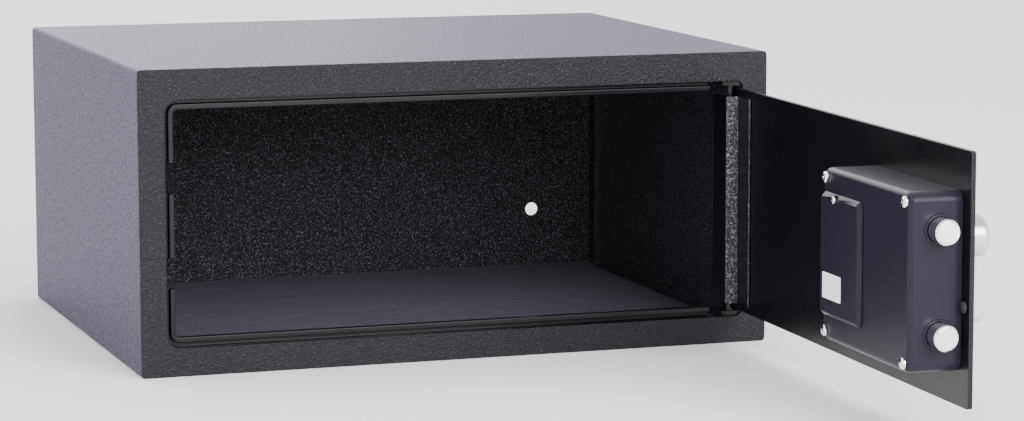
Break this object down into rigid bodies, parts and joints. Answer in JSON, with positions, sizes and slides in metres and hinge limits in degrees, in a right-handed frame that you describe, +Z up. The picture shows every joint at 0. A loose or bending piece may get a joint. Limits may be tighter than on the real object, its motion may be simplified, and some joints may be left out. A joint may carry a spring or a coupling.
{
  "type": "security safe",
  "caption": "Low, wide security safe with a hinged door standing open, sliding lock bolts in a housing on the door, a turning knob, a keypad and a key override.",
  "frame": {"origin": "centre of the body's flat underside", "axes": "+X to the right seen from the front, towards the hinges; +Y from the front face into the safe; +Z up"},
  "size_m": [0.435, 0.7348, 0.2],
  "materials": {
    "shell": "fine hammered powder coat",
    "frame": "coarse textured powder coat",
    "liner": "coarse matte powder coat",
    "leaf": "smooth satin",
    "plastic": "satin moulded",
    "chrome": "bright",
    "zinc": "zinc plated",
    "carpet": "short pile",
    "cell": "wrapped can",
    "board": "solder mask",
    "lens": "smoked",
    "key": "satin",
    "brass": "machined",
    "rubber": "matte moulded"
  },
  "bodies": {
    "body": {"body_wrap": "shell", "front_frame": "frame", "back_panel": "liner", "floor_mat": "carpet", "hinge_bracket_top": "frame", "hinge_bush_top": "plastic", "hinge_bracket_bottom": "frame", "hinge_bush_bottom": "plastic"},
    "door": {"door_plate": "leaf", "hinge_pin_top": "leaf", "hinge_pin_bottom": "leaf", "hinge_channel": "frame", "lock_housing": "plastic", "housing_screw_1": "chrome", "housing_screw_2": "chrome", "housing_screw_3": "chrome", "housing_screw_4": "chrome", "bolt_guide": "zinc", "knob_bush": "zinc", "solenoid": "zinc", "plunger_spring": "zinc", "battery_tray": "plastic", "battery_cell_1": "cell", "battery_cell_2": "cell", "battery_cell_3": "cell", "battery_cell_4": "cell", "battery_contact_left": "zinc", "battery_contact_right": "zinc", "control_board": "board", "keypad_panel": "plastic", "indicator_lens": "lens", "override_lock_body": "brass", "door_buffer": "rubber"},
    "knob": {"knob": "chrome", "spindle": "zinc", "crank": "zinc", "spindle_clip": "zinc"},
    "bolts": {"bolt_carriage": "zinc", "bolt_lower": "chrome", "bolt_upper": "chrome"},
    "plunger": {"solenoid_plunger": "zinc"},
    "battery_cover": {"battery_cover": "plastic", "cover_screw": "chrome"},
    "override_plug": {"override_plug": "brass", "override_cam": "zinc"},
    "override_slider": {"override_slider": "plastic"},
    "key_1": {"key_1": "key"},
    "key_2": {"key_2": "key"},
    "key_3": {"key_3": "key"},
    "key_4": {"key_4": "key"},
    "key_5": {"key_5": "key"},
    "key_6": {"key_6": "key"},
    "key_7": {"key_7": "key"},
    "key_8": {"key_8": "key"},
    "key_9": {"key_9": "key"},
    "key_star": {"key_star": "key"},
    "key_0": {"key_0": "key"},
    "key_hash": {"key_hash": "key"}
  },
  "joints": [
    {"name": "door_hinge", "type": "hinge", "parent": "body", "child": "door", "pos_m": [0.1934, -0.168, 0.09925], "axis": [0, 0, 1], "range_deg": [-88.5, 5.5]},
    {"name": "knob_turn", "type": "hinge", "parent": "door", "child": "knob", "pos_m": [0.18696, -0.52085, 0.12045], "axis": [0.9997, -0.0262, 0], "range_deg": [0, 90]},
    {"name": "bolt_slide", "type": "slide", "parent": "door", "child": "bolts", "axis": [-0.0262, -0.9997, 0], "range_m": [0, 0.0156]},
    {"name": "plunger_slide", "type": "slide", "parent": "door", "child": "plunger", "axis": [0, 0, 1], "range_m": [0, 0.004], "deforming": ["plunger_spring"]},
    {"name": "battery_cover_hinge", "type": "hinge", "parent": "door", "child": "battery_cover", "pos_m": [0.1546, -0.44648, 0.06025], "axis": [-0.0262, -0.9997, 0], "range_deg": [0, 85]},
    {"name": "override_plug_turn", "type": "hinge", "parent": "door", "child": "override_plug", "pos_m": [0.18916, -0.43688, 0.12475], "axis": [0.9997, -0.0262, 0], "range_deg": [0, 90]},
    {"name": "override_slider_slide", "type": "slide", "parent": "door", "child": "override_slider", "axis": [0, 0, -1], "range_m": [0, 0.023]},
    {"name": "key_1_press", "type": "slide", "parent": "door", "child": "key_1", "axis": [-0.9997, 0.0262, 0], "range_m": [0, 0.0008], "stiffness_N_per_m": 200},
    {"name": "key_2_press", "type": "slide", "parent": "door", "child": "key_2", "axis": [-0.9997, 0.0262, 0], "range_m": [0, 0.0008], "stiffness_N_per_m": 200},
    {"name": "key_3_press", "type": "slide", "parent": "door", "child": "key_3", "axis": [-0.9997, 0.0262, 0], "range_m": [0, 0.0008], "stiffness_N_per_m": 200},
    {"name": "key_4_press", "type": "slide", "parent": "door", "child": "key_4", "axis": [-0.9997, 0.0262, 0], "range_m": [0, 0.0008], "stiffness_N_per_m": 200},
    {"name": "key_5_press", "type": "slide", "parent": "door", "child": "key_5", "axis": [-0.9997, 0.0262, 0], "range_m": [0, 0.0008], "stiffness_N_per_m": 200},
    {"name": "key_6_press", "type": "slide", "parent": "door", "child": "key_6", "axis": [-0.9997, 0.0262, 0], "range_m": [0, 0.0008], "stiffness_N_per_m": 200},
    {"name": "key_7_press", "type": "slide", "parent": "door", "child": "key_7", "axis": [-0.9997, 0.0262, 0], "range_m": [0, 0.0008], "stiffness_N_per_m": 200},
    {"name": "key_8_press", "type": "slide", "parent": "door", "child": "key_8", "axis": [-0.9997, 0.0262, 0], "range_m": [0, 0.0008], "stiffness_N_per_m": 200},
    {"name": "key_9_press", "type": "slide", "parent": "door", "child": "key_9", "axis": [-0.9997, 0.0262, 0], "range_m": [0, 0.0008], "stiffness_N_per_m": 200},
    {"name": "key_star_press", "type": "slide", "parent": "door", "child": "key_star", "axis": [-0.9997, 0.0262, 0], "range_m": [0, 0.0008], "stiffness_N_per_m": 200},
    {"name": "key_0_press", "type": "slide", "parent": "door", "child": "key_0", "axis": [-0.9997, 0.0262, 0], "range_m": [0, 0.0008], "stiffness_N_per_m": 200},
    {"name": "key_hash_press", "type": "slide", "parent": "door", "child": "key_hash", "axis": [-0.9997, 0.0262, 0], "range_m": [0, 0.0008], "stiffness_N_per_m": 200}
  ],
  "couplings": [
    {"joint": "bolt_slide", "follows": "knob_turn", "m_per_rad": 0.0099035}
  ]
}
